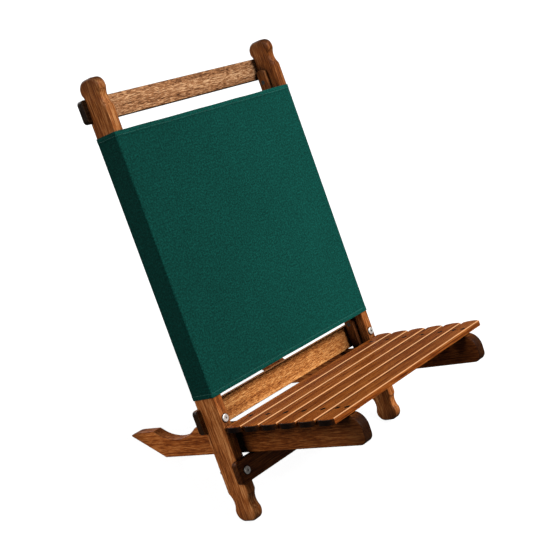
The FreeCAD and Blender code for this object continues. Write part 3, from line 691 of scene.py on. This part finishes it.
def make_grid(name, points, normals, levels, outward, thickness):
    """A skin of cloth through the wrap points at each level, with flat coordinates."""
    mesh = bmesh.new()
    layer = mesh.loops.layers.uv.new("flat")
    reach = [0.0]
    for start, end in zip(points, points[1:]):
        reach.append(reach[-1] + (end - start).length)
    middle = (CANVAS_TOP + CANVAS_BOTTOM) / 2
    rows = [
        [mesh.verts.new(cloth_point(*spot, level, outward)) for spot in zip(points, normals)]
        for level in levels
    ]
    for row in range(len(levels) - 1):
        for column in range(len(points) - 1):
            corners = [(row, column), (row, column + 1), (row + 1, column + 1), (row + 1, column)]
            face = mesh.faces.new([rows[r][c] for r, c in corners])
            face.smooth = True
            for loop, (r, c) in zip(face.loops, corners):
                loop[layer].uv = (reach[c] - reach[-1] / 2, levels[r] - middle)
    data = bpy.data.meshes.new(name)
    mesh.to_mesh(data)
    mesh.free()
    piece = make_piece(name, data)
    thicken(piece, thickness)
    return piece


def thicken(piece, thickness):
    """Thickens a skin of cloth both ways, and softens its rim."""
    solid = piece.modifiers.new("thickness", "SOLIDIFY")
    solid.thickness = thickness
    solid.offset = 0
    rim = piece.modifiers.new("soft rim", "BEVEL")
    rim.width = thickness * RIM_SHARE
    rim.segments = 2
    rim.limit_method = "ANGLE"
    rim.angle_limit = math.radians(RIM_ANGLE)


def make_piece(name, data):
    """A piece of the sling, which rides on the back."""
    piece = bpy.data.objects.new(name, data)
    bpy.context.collection.objects.link(piece)
    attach(piece, "back_section")
    return piece


def make_hems(points, normals):
    """The cloth turned under at the top and bottom, on the inner side between the uprights."""
    kept = [(p, n) for p, n in zip(points, normals) if abs(p.x) < HEM_HALF_SPAN and p.y < 0]
    inner_points = [point for point, normal in kept]
    inner_normals = [normal for point, normal in kept]
    inward = -(CANVAS_THICKNESS + HEM_THICKNESS) / 2 - PLY_GAP
    edges = {
        "canvas_bottom_hem": (CANVAS_BOTTOM + PLY_INSET, CANVAS_BOTTOM + HEM_HEIGHT),
        "canvas_top_hem": (CANVAS_TOP - HEM_HEIGHT, CANVAS_TOP - PLY_INSET),
    }
    return [
        make_grid(name, inner_points, inner_normals, [low, (low + high) / 2, high], inward, HEM_THICKNESS)
        for name, (low, high) in edges.items()
    ]


def make_stitches(points, normals):
    """Rows of thread along both hems, round the outside of the sling and across its inner side."""
    corners, faces = [], []
    inner_side = -CANVAS_THICKNESS / 2 - HEM_THICKNESS - PLY_GAP
    for level in (CANVAS_BOTTOM + HEM_HEIGHT - SEAM_INSET, CANVAS_TOP - HEM_HEIGHT + SEAM_INSET):
        run = 0.0
        for index in range(len(points) - 1):
            start, end = points[index], points[index + 1]
            if start.y > 0 and abs(start.x) < LEG_X + CORNER_RADIUS:
                continue
            length = (end - start).length
            while run < length:
                here = start.lerp(end, run / length)
                normal = normals[index].lerp(normals[index + 1], run / length).normalized()
                add_stitch(corners, faces, here, normal, level, CANVAS_THICKNESS / 2)
                if abs(here.x) < HEM_HALF_SPAN - STITCH_PITCH:
                    add_stitch(corners, faces, here, normal, level, inner_side)
                run += STITCH_PITCH
            run -= length
    data = bpy.data.meshes.new("canvas_stitches")
    data.from_pydata(corners, [], faces)
    data.shade_smooth()
    return make_piece("canvas_stitches", data)


def add_stitch(corners, faces, point, normal, level, outward):
    """One stitch: a slim grain of thread with tapered ends, lying along the wrap."""
    way = Vector((-normal.y, normal.x)) * STITCH_LENGTH / 2
    start, end = (cloth_point(point + offset, normal, level, outward) for offset in (-way, way))
    turn = (end - start).to_track_quat("X", "Z")
    first = len(corners)
    for place, share in STITCH_RINGS:
        for side in range(STITCH_SIDES):
            angle = 2 * math.pi * side / STITCH_SIDES
            offset = Vector((0, math.cos(angle), math.sin(angle))) * THREAD_RADIUS * share
            corners.append(start.lerp(end, place) + turn @ offset)
    corners += [start, end]
    last = first + (len(STITCH_RINGS) - 1) * STITCH_SIDES
    tips = (last + STITCH_SIDES, last + STITCH_SIDES + 1)
    for side in range(STITCH_SIDES):
        beside = (side + 1) % STITCH_SIDES
        faces.append((tips[0], first + beside, first + side))
        faces.append((tips[1], last + side, last + beside))
        for ring in range(len(STITCH_RINGS) - 1):
            here = first + ring * STITCH_SIDES
            there = here + STITCH_SIDES
            faces.append((here + side, here + beside, there + beside, there + side))


def make_sling():
    """The canvas back, which stands for the CAD canvas, with its hems and stitches."""
    points = wrap_points()
    normals = path_normals(points)
    canvas = make_grid("canvas_sling", points, normals, cloth_levels(), 0.0, CANVAS_THICKNESS)
    hems = make_hems(points, normals)
    stitches = make_stitches(points, normals)
    cloth = make_canvas("green_canvas")
    for piece in [canvas, *hems]:
        piece.data.materials.append(cloth)
    stitches.data.materials.append(make_thread("green_thread"))
    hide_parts("back_canvas")


# ---------------------------------------------------------------- finishes for the CAD nodes

# piece: its cut, its tones, the pith's offset from its middle, and its shades at the two ends of its grain,
# from the foot, the tail or the left. The shades are partly the wood's own tone and partly painted shade:
# the uprights darker towards their heads, the left seat rail towards its nose, and the front cross board
# and the right seat rail darker all over for the seat's shadow
WOODEN = {
    "left_upright": ("upright", BROWN, (0.05, 0.03), (1.0, 0.75)),
    "right_upright": ("upright", BROWN, (-0.07, 0.04), (1.0, 0.65)),
    "left_canvas_batten": ("upright", BROWN, (0.03, -0.05), (0.75, 0.75)),
    "right_canvas_batten": ("upright", BROWN, (-0.03, 0.06), (0.6, 0.6)),
    "top_rail": ("board", SANDY, (0.035, 0.04), (0.95, 0.75)),
    "lumbar_board": ("board", TAWNY, (-0.03, 0.05), (1.2, 1.2)),
    "front_cross_board": ("low_board", UMBER, (0.04, -0.05), (0.42, 0.42)),
    "left_seat_rail": ("rail", UMBER, (0.06, 0.03), (1.0, 0.40)),
    "right_seat_rail": ("rail", UMBER, (-0.05, -0.04), (0.7, 0.6)),
    "seat_slat_1": ("slat", RUSSET, (0.03, 0.06), (0.66, 0.62)),
    "seat_slat_2": ("slat", RUSSET, (-0.05, 0.04), (0.60, 0.56)),
    "seat_slat_3": ("slat", RUSSET, (0.06, -0.03), (0.66, 0.62)),
    "seat_slat_4": ("slat", RUSSET, (-0.04, -0.05), (0.62, 0.58)),
    "seat_slat_5": ("slat", RUSSET, (0.05, 0.05), (0.66, 0.62)),
    "seat_slat_6": ("slat", RUSSET, (-0.06, 0.03), (0.64, 0.60)),
}


def dress(node, material):
    """Gives a node one material all over."""
    node.data.materials.clear()
    node.data.materials.append(material)


def finish_nodes():
    """Gives every CAD node that stays in view its wood or metal."""
    depth_axis = on_back(0, 1, 0) - on_back(0, 0, 0)
    metals = {slot: make_metal(*metal, depth_axis) for slot, metal in METALS.items()}
    slots = {part["node"]: part["material_slot"] for part in frame["record"]["subparts"]}
    seeds = {name: index for index, name in enumerate(WOODEN)}
    for name, node in frame["nodes"].items():
        if name in WOODEN:
            kind, tones, pith, shades = WOODEN[name]
            dress(node, make_wood(name, CUTS[kind], tones, pith, seeds[name], shades))
        elif slots[name] in metals:
            dress(node, metals[slots[name]])


# ---------------------------------------------------------------- stage

def make_camera():
    """A camera with no shift and no depth of field."""
    data = bpy.data.cameras.new("camera")
    data.sensor_width = 36
    data.lens = LENS
    camera = bpy.data.objects.new("camera", data)
    bpy.context.collection.objects.link(camera)
    level = (CAMERA_AIM - CAMERA_AT).to_track_quat("-Z", "Y")
    camera.location = CAMERA_AT
    camera.rotation_mode = "QUATERNION"
    camera.rotation_quaternion = level @ Quaternion((0, 0, 1), math.radians(CAMERA_ROLL))
    bpy.context.scene.camera = camera


def make_sun(name, toward, strength, breadth):
    """Soft light from far away in the direction toward."""
    data = bpy.data.lights.new(name, "SUN")
    data.energy = strength * math.pi
    data.angle = math.radians(breadth)
    lamp = bpy.data.objects.new(name, data)
    bpy.context.collection.objects.link(lamp)
    lamp.rotation_mode = "QUATERNION"
    lamp.rotation_quaternion = Vector(toward).to_track_quat("Z", "Y")
    return lamp


def make_floor():
    """A plain floor that neither lights nor shades the chair."""
    corners = [(-1, -1), (1, -1), (1, 1), (-1, 1)]
    mesh = bpy.data.meshes.new("floor")
    mesh.from_pydata([(x * FLOOR_REACH, y * FLOOR_REACH, 0) for x, y in corners], [], [(0, 1, 2, 3)])
    floor = bpy.data.objects.new("floor", mesh)
    bpy.context.collection.objects.link(floor)
    floor.data.materials.append(new_material("pale_floor", Base_Color=FLOOR_COLOUR, Roughness=0.9)[0])
    floor.visible_diffuse = False
    floor.visible_glossy = False
    floor.visible_shadow = False
    return floor


def make_surround():
    """A surround that looks white and lights dimly."""
    world = bpy.data.worlds.new("surround")
    world.use_nodes = True
    tree = world.node_tree
    background = tree.nodes["Background"]
    feed(tree, background.inputs["Color"], (1, 1, 1))
    seen = add(tree, "LightPath", {}).outputs["Is Camera Ray"]
    feed(tree, background.inputs["Strength"], blend_value(tree, seen, AMBIENT, 1.0))
    bpy.context.scene.world = world
    bpy.context.scene.view_settings.view_transform = "Standard"


def light_backdrop(floor):
    """A light on the floor alone that bleaches it and casts no shadow."""
    backdrop = make_sun("backdrop", *BACKDROP_LIGHT)
    backdrop.data.use_shadow = False
    lit = bpy.data.collections.new("backdrop_lit")
    lit.objects.link(floor)
    backdrop.light_linking.receiver_collection = lit


def make_stage():
    """The floor, the surround and the lights."""
    floor = make_floor()
    make_surround()
    for name, light in LIGHTS.items():
        make_sun(name, *light)
    light_backdrop(floor)


# ---------------------------------------------------------------- everything together

make_camera()
make_stage()
make_sling()
finish_nodes()
